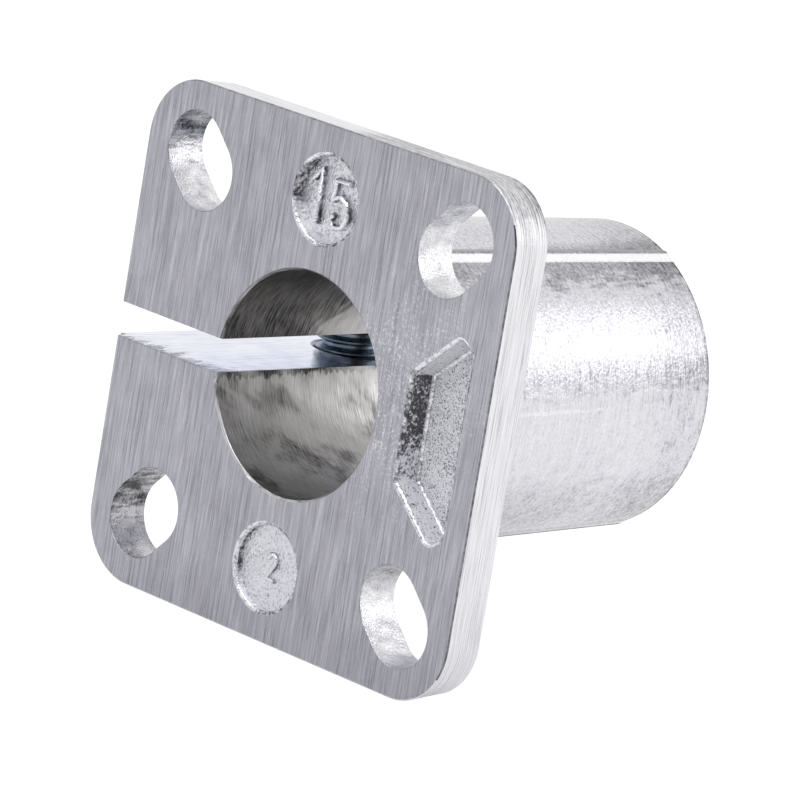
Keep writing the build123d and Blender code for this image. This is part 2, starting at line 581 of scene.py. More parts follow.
@dataclass(frozen=True)
class RimFinish(TornFinish):
    """Rounded rims: bright, but dull on the right of a round recess, with painted shadow on its
    left.

    Attributes:
        recess_reach: a little more than the radius of the recesses.
        pocket: places along X past which the pocket's rim is dull, beside the bore and the edge.
        pocket_half: half of the height of the pocket's wall beside the bore.
        dull: what the dull parts take from the tone, and those beside the bore.
        dark: what the painted shadow left of a recess takes, and the darker ragged part beside the
            bore.
    """

    recess_reach: float = 4.4
    pocket: Pair = (11.4, 14.8)
    pocket_half: float = 3.7
    dull: Pair = (0.26, 0.14)
    dark: Pair = (0.4, 0.3)

    def pattern(self, shading: Shading) -> Pattern:
        """The torn rim with its dull and dark stretches and the painted shadow left of a recess."""
        tone, height = super().pattern(shading)
        x, depth, z = shading.axes
        ragged = shading.ripple(2.0, Layer.RIM, 3.0) * 1.5
        local = shading.from_centre(RECESS_PLACE) + ragged
        recess = abs(x).step(self.recess_reach + 0.2, self.recess_reach)
        right = (x + ragged).step(-1.0, 0.6)
        black = local.step(-0.9, -0.3) * local.step(2.4, 1.4) * (1.0 - right) * shading.upper
        near, far = self.pocket
        beside = x.step(near + 0.4, near) * abs(z).step(self.pocket_half + 0.5, self.pocket_half)
        darkening = ragged.step(0.25, -0.25) * depth.step(1.2, 0.8)
        outer = x.step(far, far + 0.4) * self.dull[0]
        pocket = outer + beside * (darkening * self.dark[1] + self.dull[1])
        round_rim = right * self.dull[0] + black * self.dark[0]
        return tone - recess * round_rim - (1.0 - recess) * pocket, height


@dataclass(frozen=True)
class NumberFinish(TornFinish):
    """Raised digits: painted light on the tops and painted shade at the feet.

    Attributes:
        black: depths below the mounting face at which the digits start to darken with painted shade
            and are black.
        light: painted light that lifts the tone of the tops.
        dark: painted shade that the feet take from it.
    """

    colour: Triple = (0.8, 0.8, 0.84)
    fleck_depth: float = 0.3
    fleck_height: float = 0.02
    roughness: Pair = (0.18, 0.28)
    black: Pair = (0.4, 0.62)
    light: float = 0.2
    dark: float = 0.5

    def pattern(self, shading: Shading) -> Pattern:
        """The torn metal with painted shade at the feet and painted light on the tops."""
        tone, height = super().pattern(shading)
        ragged = shading.axes[1] + shading.ripple(3.0, Layer.DIGIT) * 0.2
        return tone + self.light - ragged.step(*self.black) * self.dark, height


@dataclass(frozen=True)
class CollarFinish(CastFinish):
    """The collar's skin: painted shade and highlights, scratched at mid height and mottled below.

    Attributes:
        ridge: height of the parting ridge over the middle of the collar.
        seam: height of the faint line along the middle of the collar.
        length: distance of the far end from the mounting face.
        bands: scraped, dim, shining and low bands: the heights between which each fades in and
        out, and what it adds to the tone. The scraped band lightens the scratched middle and
        paints part of the highlight, the dim band is painted shade on the highlight's lower edge,
        the shining band is a painted highlight, and the low band darkens the skin towards the
        bottom.
        shade: what the shade under the ridge takes from the tone.
        line: what the faint line adds to it.
        darkening: painted shade that the far end takes from the tone, and that the far end's edge
            takes.
        scratch: what the scratches change of it, and their height in millimetres.
        patch: what the patches change of it, and their height in millimetres.
    """

    ridge: float = 9.9
    seam: float = 0.6
    length: float = 29.2
    bands: tuple[tuple[Pair, Pair, float], ...] = (
        ((-6.0, -4.0), (2.6, 0.8), 0.14),
        ((1.6, 2.6), (4.6, 3.6), -0.05),
        ((5.6, 6.6), (8.8, 8.0), 0.05),
        ((-60.0, -50.0), (-2.0, -6.0), -0.03),
    )
    shade: float = 0.2
    line: float = 0.16
    darkening: Pair = (0.12, 0.22)
    scratch: Pair = (0.45, 0.005)
    patch: Pair = (0.42, 0.012)

    def pattern(self, shading: Shading) -> Pattern:
        """The skin with its bands, scratches and patches. The far end's face stays plain."""
        tone, height = super().pattern(shading)
        x, y, level = shading.axes
        ragged = shading.ripple((2.0, 0.6, 2.0), Layer.BAND, 3.0)
        z = level + ragged * 4.0
        # Painted shade under the ridge, where the highlight fades towards the far end, and along
        # the far end's edge.
        shade = z.step(self.ridge - 2.4, self.ridge - 1.0)
        shade = shade * level.step(self.ridge + 0.4, self.ridge)
        far = (y + ragged * 6.0).step(self.length - 8.0, self.length - 2.0)
        end = (y + ragged * 0.5).step(self.length - 0.6, self.length - 0.3) * x.step(-4.0, -2.0)
        seam = abs(level + ragged * 0.3 - self.seam).step(0.16, 0.06)
        seam = seam * (y + ragged * 12.0).step(20.0, 16.0)
        marks = seam * self.line - shade * self.shade - far * self.darkening[0] - end * self.darkening[1]
        for lower, upper, change in self.bands:
            marks = marks + z.step(*lower) * z.step(*upper) * change
        tone = tone + marks * y.step(self.length - 0.02, self.length - 0.1)
        middle = level.step(-4.0, -1.0) * level.step(4.4, 2.6)
        scratches = shading.ripple((0.5, 7.0, 0.5), Layer.SCRATCH, 3.0) * (middle * 1.1 + 0.25)
        patches = shading.ripple(1.4, Layer.COLLAR, 4.0) * (level.step(0.0, -3.0) * 0.7 + 0.3)
        tone = tone + scratches * self.scratch[0] + patches * self.patch[0]
        return tone, height + scratches * self.scratch[1] + patches * self.patch[1]


@dataclass(frozen=True)
class RidgeFinish(CastFinish):
    """A trimmed parting ridge: painted light above, painted shade along its crest and at its foot.

    Attributes:
        foot: angle of the foot above the X axis, in degrees.
        crest: angle of the crest above the X axis, in degrees.
        light: painted light that lifts the tone of the upper ridge.
        dark: painted shade that the crest's line takes from it, and that the foot and the lower
            ridge take.
    """

    foot: float = 59.8
    crest: float = 64.8
    light: float = 0.2
    dark: Pair = (0.4, 0.14)

    def pattern(self, shading: Shading) -> Pattern:
        """The trimmed metal with its painted shade and its painted light."""
        tone, height = super().pattern(shading)
        x, _, z = shading.axes
        rise = abs(z) * x ** -1.0
        line = rise.step(self.slope(self.crest - 1.5), self.slope(self.crest - 0.6))
        foot = rise.step(self.slope(self.foot + 1.2), self.slope(self.foot))
        dark = line * self.dark[0] + (foot + 1.0) * self.dark[1]
        return tone + shading.upper * self.light - dark, height

    @staticmethod
    def slope(angle: float) -> float:
        """Rise for each unit along X at an angle in degrees."""
        return math.tan(math.radians(angle))


@dataclass(frozen=True)
class SawnFinish(CastFinish):
    """The slit's sawn faces: bright, with torn dark lips at the mounting face and at the bore.

    Attributes:
        lip: how far the torn metal reaches in from the mounting face, in millimetres.
        torn: what the torn metal takes from the tone, and what its threads take besides.
        dark: what the fine threads take from the tone, and what the bore's lip takes.
    """

    lip: float = 0.75
    torn: Pair = (0.14, 0.16)
    dark: Pair = (0.26, 0.38)

    def pattern(self, shading: Shading) -> Pattern:
        """The saw marks with the torn lips added."""
        tone, height = super().pattern(shading)
        x, y, z = shading.axes
        tongues = shading.ripple((0.9, 0.2, 0.9), Layer.TONGUE, 4.0)
        threads = shading.clouds((7.0, 0.5, 7.0), Layer.SAW)
        torn = (y + tongues * 10.0).step(self.lip + 0.25, self.lip)
        fine = (y + (threads - 0.5) * 9.0).step(4.0 * self.lip, 0.2) * threads.step(0.52, 0.6)
        away = (x * x + z * z) ** 0.5 - BORE_RADIUS
        bore_lip = (away + (threads - 0.5) * 0.8).step(0.22, 0.08)
        dark = torn * (threads.step(0.35, 0.6) * self.torn[1] + self.torn[0])
        dark = (dark + fine * self.dark[0]).larger(bore_lip * self.dark[1])
        return tone - dark, height - torn * 0.02 + threads * fine * 0.03


@dataclass(frozen=True)
class BoredFinish(CastFinish):
    """The bore: worn boring marks with warm, smeared patches, and painted shade on its crown.

    Attributes:
        slant: angle of the patches to the bore's axis, in degrees.
        smear: cycles of the patches for each millimetre along X, Y and Z.
        soft: what the patches, the streaks and the blots change of the tone.
        hatch: what the hatching low in the bore changes of it.
        dark: painted shade that the crown takes from the tone, and what the torn lip takes.
    """

    slant: float = 35.0
    smear: Triple = (0.22, 0.14, 0.3)
    soft: Triple = (0.48, 0.3, 0.2)
    hatch: float = 0.6
    dark: Pair = (0.34, 0.3)

    def pattern(self, shading: Shading) -> Pattern:
        """The boring marks with the smeared patches, the painted shade on the crown and the torn
        lip.
        """
        tone, height = super().pattern(shading)
        x, y, z = shading.axes
        inputs = {"Vector": shading.place, "Angle": math.radians(self.slant)}
        turned = shading.node("ShaderNodeVectorRotate", {"rotation_type": "X_AXIS"}, inputs)
        smears = shading.clouds(self.smear, Layer.SMEAR, 3.0, turned).step(0.4, 0.6) - 0.5
        streaks = shading.ripple((1.2, 1.6, 0.3), Layer.STREAK, 3.0, turned)
        blots = shading.ripple((0.9, 0.5, 1.4), Layer.BLOT, 3.0, turned)
        above = z.step(0.3, 0.9)
        # Painted shade on the bore's crown, the ceiling that lies in shadow.
        crown = (z * 1.5 - y + streaks * 8.0 + 6.5).step(-1.5, 1.5) * above
        burrs = shading.ripple((3.0, 3.0, 1.0), Layer.BURR, 3.0)
        lip = (z + burrs * 1.6).step(-1.65, -1.4) * (1.0 - above) * x.step(0.0, -3.0)
        hatch = shading.ripple((2.0, 1.0, 9.0), Layer.HATCH, at=turned)
        low = (z + streaks * 3.0).step(-3.0, -6.0)
        soft = smears * self.soft[0] + streaks * self.soft[1] + blots * self.soft[2]
        tone = tone + soft * (1.0 - crown * 0.8) + hatch * low * self.hatch - 0.03
        return tone - crown * self.dark[0] - lip * self.dark[1], height


@dataclass(frozen=True)
class SteelFinish:
    """Dull steel of the screw.

    Attributes:
        name: name of the material.
        colour: base colour.
        roughness: roughness of the smoothest and the dullest spots.
        grit: height of the fine bumps in millimetres.
    """

    name: str
    colour: Triple = (0.28, 0.34, 0.39)
    roughness: Pair = (0.25, 0.42)
    grit: float = 0.004

    def make(self) -> bpy.types.Material:
        """Builds the material.

        Returns:
            The new material.
        """
        material = bpy.data.materials.new(self.name)
        shading = Shading(material)
        cloud = shading.clouds(1.2, Layer.GRAIN)
        fine = shading.clouds(9.0, Layer.STEEL, 3.0)
        low, high = self.roughness
        dark, light = (tuple(c * share for c in self.colour) for share in (0.8, 1.2))
        settings = {
            "Base Color": shading.blend(cloud.step(0.35, 0.65), dark, light),
            "Metallic": 1.0,
            "Roughness": fine.step(0.3, 0.7) * (high - low) + low,
        }
        shading.surface(settings, fine * self.grit)
        return material


# The casting


class Region(Enum):
    """Surfaces of the casting that were made in different ways, each with its finish."""

    # The face's colour is darker than the rest of the casting: partly its ground finish, and partly
    # painted shade for the darker surroundings that it mirrors.
    FACE = FaceFinish(
        "ground_face", (0.437, 0.433, 0.475), grain=(10.0, 10.0, 0.25), grain_depth=0.27, broad=0.2,
        fleck=6.0, fleck_depth=0.8, fleck_height=0.008,
    )
    EDGE = EdgeFinish(
        "ground_edge", (0.78, 0.78, 0.805), grain=(0.22, 12.0, 0.22), grain_depth=0.34, broad=0.3,
    )
    BACK = CastFinish(
        "cast_back", grain=(1.5, 1.5, 1.5), grain_depth=0.06, fleck=3.0, fleck_depth=0.12,
        fleck_height=0.01,
    )
    SLOT = SlotFinish(
        "torn_slot", (0.60, 0.60, 0.63), fleck_depth=0.2, fleck_height=0.02, roughness=(0.16, 0.28),
    )
    RECESS_FLOOR = TornFinish(
        "recess_skin", (0.80, 0.80, 0.84), grain_depth=0.05, fleck=5.0, fleck_depth=0.5,
        fleck_height=0.03, patch_depth=0.2, patch_height=0.05, roughness=(0.2, 0.32), metallic=0.8,
    )
    RECESS_WALL = RecessWallFinish(
        "recess_wall", (0.72, 0.72, 0.76), grain_depth=0.05, fleck=4.0, fleck_depth=0.7,
        fleck_height=0.03, patch_depth=0.2, roughness=(0.18, 0.3), metallic=0.6,
    )
    # The pocket's floor and walls are near white and hardly metallic, lighter than the rest of the
    # casting: partly the frosted cast skin, and partly painted light for the light that the lamps
    # don't bring into the pocket.
    POCKET_FLOOR = CastFinish(
        "pocket_floor", (0.95, 0.95, 1.0), grain=(3.0, 3.0, 3.0), fleck=8.0, fleck_depth=1.1,
        fleck_height=0.07, mottle=0.8, mottle_depth=0.2, roughness=(0.2, 0.3), metallic=0.15,
    )
    POCKET_WALL = PocketFinish(
        "pocket_wall", (0.95, 0.95, 1.0), grain_depth=0.05, fleck=6.0, fleck_depth=0.9,
        fleck_height=0.08, patch=(2.0, 2.0, 2.0), patch_height=0.08, roughness=(0.16, 0.24),
        metallic=0.2,
    )
    SLIT = SawnFinish(
        "sawn_metal", (0.80, 0.82, 0.92), grain=(5.0, 0.3, 5.0), grain_depth=0.15, fleck_depth=0.02,
        fleck_height=0.001, roughness=(0.14, 0.24),
    )
    BORE = BoredFinish(
        "bored_metal", (0.64, 0.63, 0.625), grain=(0.8, 8.0, 0.8), grain_depth=0.22, broad=0.4,
        fleck_height=0.001, roughness=(0.3, 0.42),
    )
    COLLAR = CollarFinish(
        "collar_skin", (0.64, 0.64, 0.68), grain=(0.8, 8.0, 0.8), grain_depth=0.12, broad=0.4,
        fleck=4.4, fleck_depth=0.26, fleck_height=0.015, mottle_depth=0.1, roughness=(0.2, 0.28),
    )
    RIDGE = RidgeFinish(
        "trimmed_ridge", (0.90, 0.90, 0.92), grain_depth=0.05, fleck_depth=0.24, fleck_height=0.01,
    )
    # The ridge's back step is dark: painted shade on that facet.
    STEP = CastFinish("ridge_step", (0.34, 0.34, 0.37), grain_depth=0.05, fleck_depth=0.04)
    HOLE = CastFinish("drilled_metal", grain=(0.6, 0.6, 6.0))
    CORNER = CornerFinish(
        "corner_line_metal", (0.5, 0.5, 0.52), grain=(2.0, 2.0, 2.0), roughness=(0.16, 0.26),
    )
    RIM = RimFinish(
        "rounded_rim", (0.86, 0.86, 0.89), grain_depth=0.05, fleck=4.0, fleck_depth=0.5,
        fleck_height=0.03, patch_depth=0.3, patch_height=0.05, roughness=(0.16, 0.26), metallic=0.8,
    )

    @property
    def index(self) -> int:
        """Number of the region's finish on the casting."""
        return list(Region).index(self)


def add_object(name: str, data: bpy.types.ID) -> bpy.types.Object:
    """Adds an object to the scene.

    Args:
        name: the object's name.
        data: its mesh, curve, lamp or camera.

    Returns:
        The new object.
    """
    made = bpy.data.objects.new(name, data)
    bpy.context.scene.collection.objects.link(made)
    return made


def as_mesh(name: str, shell: Shell) -> bpy.types.Mesh:
    """Makes a mesh of what was modelled, and frees it.

    Args:
        name: the mesh's name.
        shell: what was modelled.

    Returns:
        The new mesh.
    """
    mesh = bpy.data.meshes.new(name)
    shell.to_mesh(mesh)
    shell.free()
    return mesh


@dataclass
class Casting:
    """The cast clamp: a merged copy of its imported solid, with softened edges and its finishes.

    Attributes:
        flange_thickness: depth of the flange.
        corner_radius: radius of the flange's corners.
        corner_line: height of the strip at the flange's outline that counts as its corner line.
        slot_reach: radius round a slot's centre that holds the whole slot.
        recess_reach: radius that holds a recess with its softened rim.
        bore_reach: width of the bore's edge breaks, which belong to the bore.
        slit_half: half of the slit's width.
        screw_place: place of the screw's axis along X and Y.
        screw_reach: radius that holds the screw's seat.
        screw_seat: height that holds the screw's seat.
        ridge_angles: foot, crest and back of the collar's ridges, in degrees above the X axis.
        edge_radius: width of the softened edges.
        rim_radius: width of the rounded rims of the recesses and the pocket.
        foot_radius: width of the rounded foot of the pocket's walls.
        edge_angle: angle, in degrees, above which an edge is softened.
        touch: distance below which two places count as one.
        straight: share of a face's direction along an axis, above which it faces straight along it.
    """

    flange_thickness: float = 3.2
    corner_radius: float = 4.5
    corner_line: float = 0.3
    slot_reach: float = 3.9
    recess_reach: float = 3.05
    bore_reach: float = 0.7
    slit_half: float = 1.15
    screw_place: Pair = (-11.6, 16.5)
    screw_reach: float = 4.8
    screw_seat: float = 5.5
    ridge_angles: Triple = (59.8, 64.8, 66.6)
    edge_radius: float = 0.1
    rim_radius: float = 0.24
    foot_radius: float = 0.2
    edge_angle: float = 32.0
    touch: float = 0.01
    straight: float = 0.9

    def build(self, node: bpy.types.Object) -> bpy.types.Object:
        """Makes the dressed casting.

        Args:
            node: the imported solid.

        Returns:
            The new piece, which stands for that solid.
        """
        shell = bmesh.new()
        shell.from_mesh(node.data)
        bmesh.ops.remove_doubles(shell, verts=shell.verts, dist=0.001 * MM)
        bmesh.ops.dissolve_limit(
            shell, angle_limit=math.radians(0.2), verts=shell.verts, edges=shell.edges,
            delimit={"NORMAL"},
        )
        for face in shell.faces:
            face.material_index = self.region(face).index
            face.smooth = True
        self.soften(shell)
        mesh = as_mesh("casting", shell)
        for region in Region:
            mesh.materials.append(region.value.make())
        mesh.set_sharp_from_angle(angle=math.radians(self.edge_angle))
        piece = add_object("casting", mesh)
        even = piece.modifiers.new("even_shading", "WEIGHTED_NORMAL")
        even.keep_sharp = True
        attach(piece, "clamp")
        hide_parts("clamp_body")
        LOG.info("casting: %d faces", len(mesh.polygons))
        return piece

    def soften(self, shell: Shell) -> None:
        """Rounds the sharp edges of the flange, its openings and the slit.

        Args:
            shell: the casting, changed in place.
        """
        floor_and_wall = {Region.POCKET_FLOOR.index, Region.POCKET_WALL.index}
        feet = [
            edge for edge in shell.edges
            if {face.material_index for face in edge.link_faces} == floor_and_wall
        ]
        for face in self.rounded(shell, feet, self.foot_radius):
            face.material_index = Region.RIM.index
        walls = {Region.RECESS_WALL.index, Region.POCKET_WALL.index}
        sharp = [edge for edge in shell.edges if self.is_softened(edge)]
        rims = [edge for edge in sharp if any(f.material_index in walls for f in edge.link_faces)]
        for face in self.rounded(shell, rims, self.rim_radius):
            face.material_index = Region.RIM.index
        sharp = [edge for edge in sharp if edge.is_valid and edge not in rims]
        outline = FLANGE_HALF - 2 * self.corner_line
        for face in self.rounded(shell, sharp, self.edge_radius):
            spot = face.calc_center_median() / MM
            if max(abs(spot.x), abs(spot.z)) > outline and spot.y < self.corner_line:
                face.material_index = Region.CORNER.index

    @staticmethod
    def rounded(shell: Shell, edges: Edges, radius: float) -> list[bmesh.types.BMFace]:
        """Bevels edges and returns the new faces.

        Args:
            shell: the casting, changed in place.
            edges: the edges.
            radius: width of the bevel in millimetres.

        Returns:
            The bevel's faces, shaded smooth.
        """
        made = bmesh.ops.bevel(
            shell, geom=edges, offset=radius * MM, offset_type="OFFSET", segments=3, profile=0.5,
            affect="EDGES", clamp_overlap=False, material=-1,
        )
        for face in made["faces"]:
            face.smooth = True
        return made["faces"]

    def is_softened(self, edge: bmesh.types.BMEdge) -> bool:
        """Tells whether an edge stands out and is sharp, and lies on the flange.

        Args:
            edge: edge of the casting.

        Returns:
            True for an edge that is softened.
        """
        middle = (edge.verts[0].co + edge.verts[1].co) / (2 * MM)
        on_flange = middle.y < self.flange_thickness + self.touch
        off_bore = math.hypot(middle.x, middle.z) > BORE_RADIUS + 0.3
        sharp = edge.is_convex and edge.calc_face_angle() > math.radians(self.edge_angle)
        return on_flange and off_bore and sharp

    def region(self, face: bmesh.types.BMFace) -> Region:
        """Tells how a face of the casting was made.

        Args:
            face: face of the merged solid.

        Returns:
            The region it belongs to.
        """
        spot = face.calc_center_median() / MM
        facing = face.normal
        radius = math.hypot(spot.x, spot.z)
        inward = -(facing.x * spot.x + facing.z * spot.z) / max(radius, self.touch)
        to_screw = math.hypot(spot.x - self.screw_place[0], spot.y - self.screw_place[1])
        in_slit = abs(spot.z) < self.slit_half + 2 * self.touch and spot.x < 0.0
        if in_slit and abs(facing.z) > 0.99:
            return Region.SLIT
        if radius < BORE_RADIUS + self.bore_reach and inward > 0.5:
            return Region.BORE
        if spot.y < self.flange_thickness - 2 * self.touch:
            return self.flange_region(spot, facing)
        if to_screw < self.screw_reach and (abs(facing.z) < 0.8 or abs(spot.z) < self.screw_seat):
            return Region.HOLE
        at_back = abs(spot.y - self.flange_thickness) < 2 * self.touch
        if at_back and facing.y > self.straight:
            return Region.BACK
        foot, crest, back = self.ridge_angles
        angle = math.degrees(math.atan2(abs(spot.z), spot.x))
        if abs(facing.y) > 0.5 or not foot < angle < back:
            return Region.COLLAR
        return Region.RIDGE if angle < crest else Region.STEP

    def flange_region(self, spot: Vector, facing: Vector) -> Region:
        """Tells how a face of the flange was made.

        Args:
            spot: the face's middle, in millimetres.
            facing: the face's direction.

        Returns:
            The region it belongs to.
        """
        across, up = abs(spot.x), abs(spot.z)
        corner = FLANGE_HALF - self.corner_radius
        beyond = math.hypot(max(across - corner, 0.0), max(up - corner, 0.0))
        is_floor = facing.y < -self.straight
        if spot.y < self.touch and facing.y < -0.99:
            return Region.FACE
        if beyond > self.corner_radius - self.corner_line:
            return Region.EDGE
        if math.hypot(across - SLOT_PLACE, up - SLOT_PLACE) < self.slot_reach:
            return Region.SLOT
        if math.hypot(spot.x, up - RECESS_PLACE) < self.recess_reach:
            return Region.RECESS_FLOOR if is_floor else Region.RECESS_WALL
        return Region.POCKET_FLOOR if is_floor else Region.POCKET_WALL


Path = tuple[Pair, ...]

DIGIT_STROKES: dict[str, tuple[Path, ...]] = {
    "1": (((-0.42, 0.55), (0.0, 1.0), (0.0, -1.0)),),
    "2": ((
        (-0.4, 0.6), (-0.2, 0.92), (0.15, 0.95), (0.4, 0.6), (0.3, 0.2), (-0.4, -0.9), (0.42, -0.9),
    ),),
    "5": (
        ((0.42, 0.75), (-0.28, 0.75), (-0.36, 0.02)),
        (
            (-0.36, 0.02), (0.02, 0.2), (0.38, 0.0), (0.5, -0.45), (0.3, -0.85), (-0.1, -0.97),
            (-0.38, -0.7), (-0.2, -0.5),
        ),
    ),
}


@dataclass
class CastNumber:
    """A raised number in a round recess, with rounded strokes as a hand-cut mould leaves them.

    Attributes:
        text: the number.
        name: name of the piece.
        height: height of the digits.
        spacing: distance between the middles of neighbouring digits.
        centre: middle of the number along X and Z.
        floor: depth of the recess that carries it.
        stand: how far the strokes stand up.
        stroke: width of the strokes.
        finish: finish of the strokes.
    """

    text: str
    name: str
    height: float
    spacing: float
    centre: Pair
    floor: float
    stand: float
    stroke: float
    finish: CastFinish

    def build(self) -> bpy.types.Object:
        """Makes the raised digits.

        Returns:
            The new piece.
        """
        curve = bpy.data.curves.new(self.name, "CURVE")
        curve.dimensions = "3D"
        curve.bevel_depth = self.stroke / 2
        curve.bevel_resolution = 3
        curve.resolution_u = 6
        curve.use_fill_caps = True
        for count, digit in enumerate(self.text):
            shift = (count - (len(self.text) - 1) / 2) * self.spacing
            for path in DIGIT_STROKES[digit]:
                self.add_stroke(curve, path, shift)
        draft = add_object(self.name, curve)
        shown = draft.evaluated_get(bpy.context.evaluated_depsgraph_get())
        mesh = bpy.data.meshes.new_from_object(shown)
        bpy.data.objects.remove(draft)
        mesh.transform(Matrix.Diagonal((1.0, 1.0, 2.0 * self.stand / self.stroke, 1.0)))
        mesh.transform(Matrix.Rotation(math.radians(90.0), 4, "X"))
        mesh.transform(Matrix.Translation((self.centre[0], self.floor, self.centre[1])))
        mesh.transform(Matrix.Scale(MM, 4))
        mesh.materials.clear()
        mesh.materials.append(self.finish.make())
        piece = add_object(self.name, mesh)
        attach(piece, "clamp")
        LOG.info("%s: %s", self.name, self.text)
        return piece

    def add_stroke(self, curve: bpy.types.Curve, path: Path, shift: float) -> None:
        """Adds one stroke of a digit.

        Args:
            curve: curve that takes the stroke.
            path: the stroke's points, for a digit two units high.
            shift: place of the digit along the line.
        """
        spline = curve.splines.new("POLY")
        spline.points.add(len(path) - 1)
        for point, (x, y) in zip(spline.points, path):
            point.co = (x * self.height / 2 + shift, y * self.height / 2, 0.0, 1.0)


NUMBERS: tuple[CastNumber, ...] = (
    CastNumber(
        "15", "size_number", height=3.7, spacing=1.9, centre=(-0.15, 12.55), floor=0.8, stand=0.46,
        stroke=0.42, finish=NumberFinish("size_number_metal"),
    ),
    CastNumber(
        "2", "cavity_number", height=1.9, spacing=1.0, centre=(0.2, -12.5), floor=0.5, stand=0.25,
        stroke=0.32, finish=NumberFinish("cavity_number_metal", black=(0.3, 0.45)),
    ),
)


# The screw


